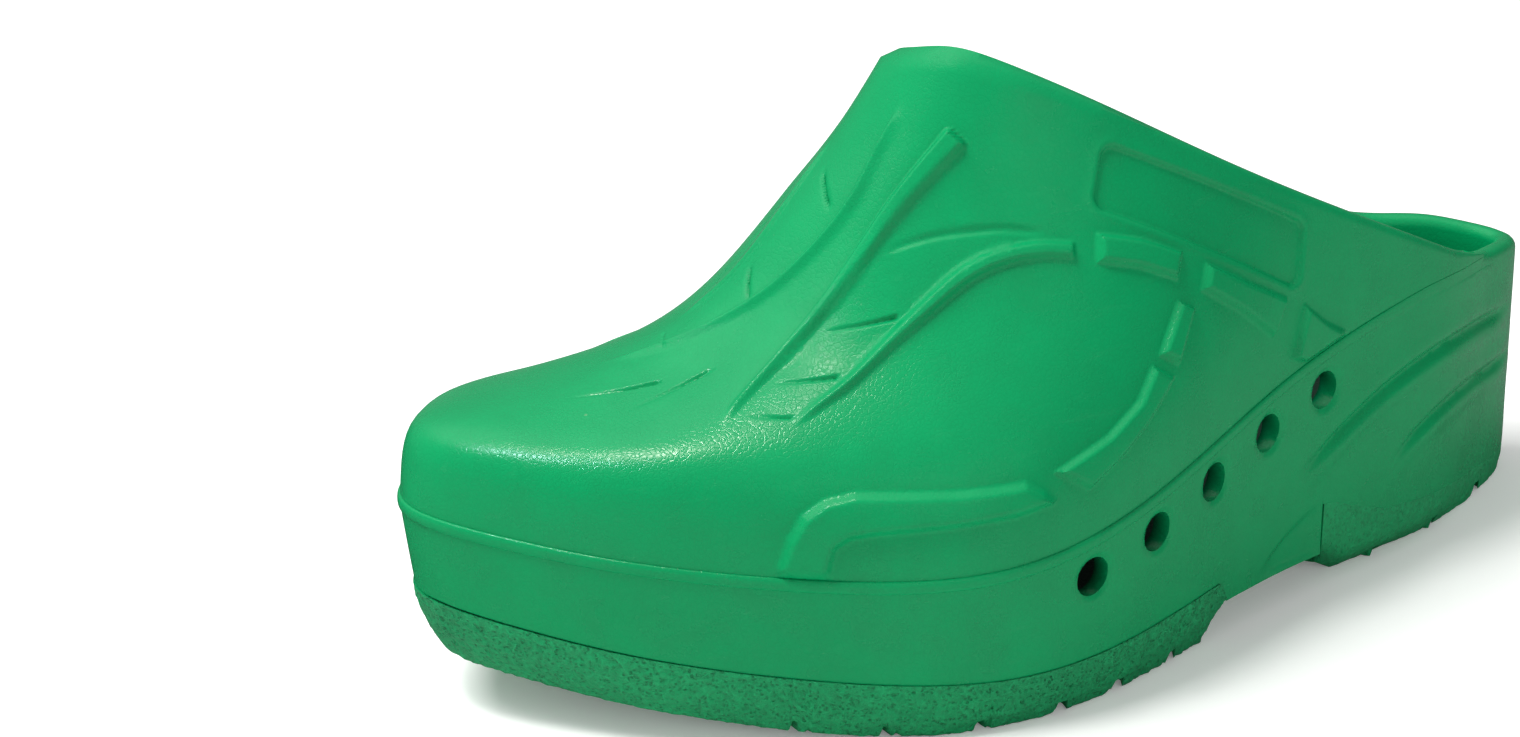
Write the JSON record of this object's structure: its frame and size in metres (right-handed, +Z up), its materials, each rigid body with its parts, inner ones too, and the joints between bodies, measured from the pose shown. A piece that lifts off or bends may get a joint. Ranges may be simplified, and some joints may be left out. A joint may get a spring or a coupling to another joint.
{
  "type": "rubber garden clog",
  "caption": "Moulded rubber garden clog, left foot, with open heel rim, raised vamp, side vent holes, lugged treads and a removable insole.",
  "frame": {"origin": "on the ground, under the middle of the shoe's length, on the line from toe tip to heel", "axes": "+X towards the toe, +Y towards the outer side of the left foot, +Z up"},
  "size_m": [0.2974, 0.1251, 0.1376],
  "materials": {
    "moulded_rubber": "satin moulded rubber with a fine leather-like grain",
    "tread_rubber": "rough, finely pitted cellular rubber",
    "insole_foam": "matt closed-cell foam rubber, dark",
    "insole_fabric": "matt brushed textile lining, dark"
  },
  "bodies": {
    "clog": {"upper_shell": "moulded_rubber", "lower_shell": "moulded_rubber", "forefoot_outsole": "tread_rubber", "heel_outsole": "tread_rubber"},
    "footbed": {"insole": "insole_foam", "insole_cover": "insole_fabric"}
  },
  "joints": [
    {"name": "insole_lift", "type": "hinge", "parent": "clog", "child": "footbed", "pos_m": [0.1415, 0, 0.031], "axis": [0, 1, 0], "range_deg": [0, 8]}
  ]
}
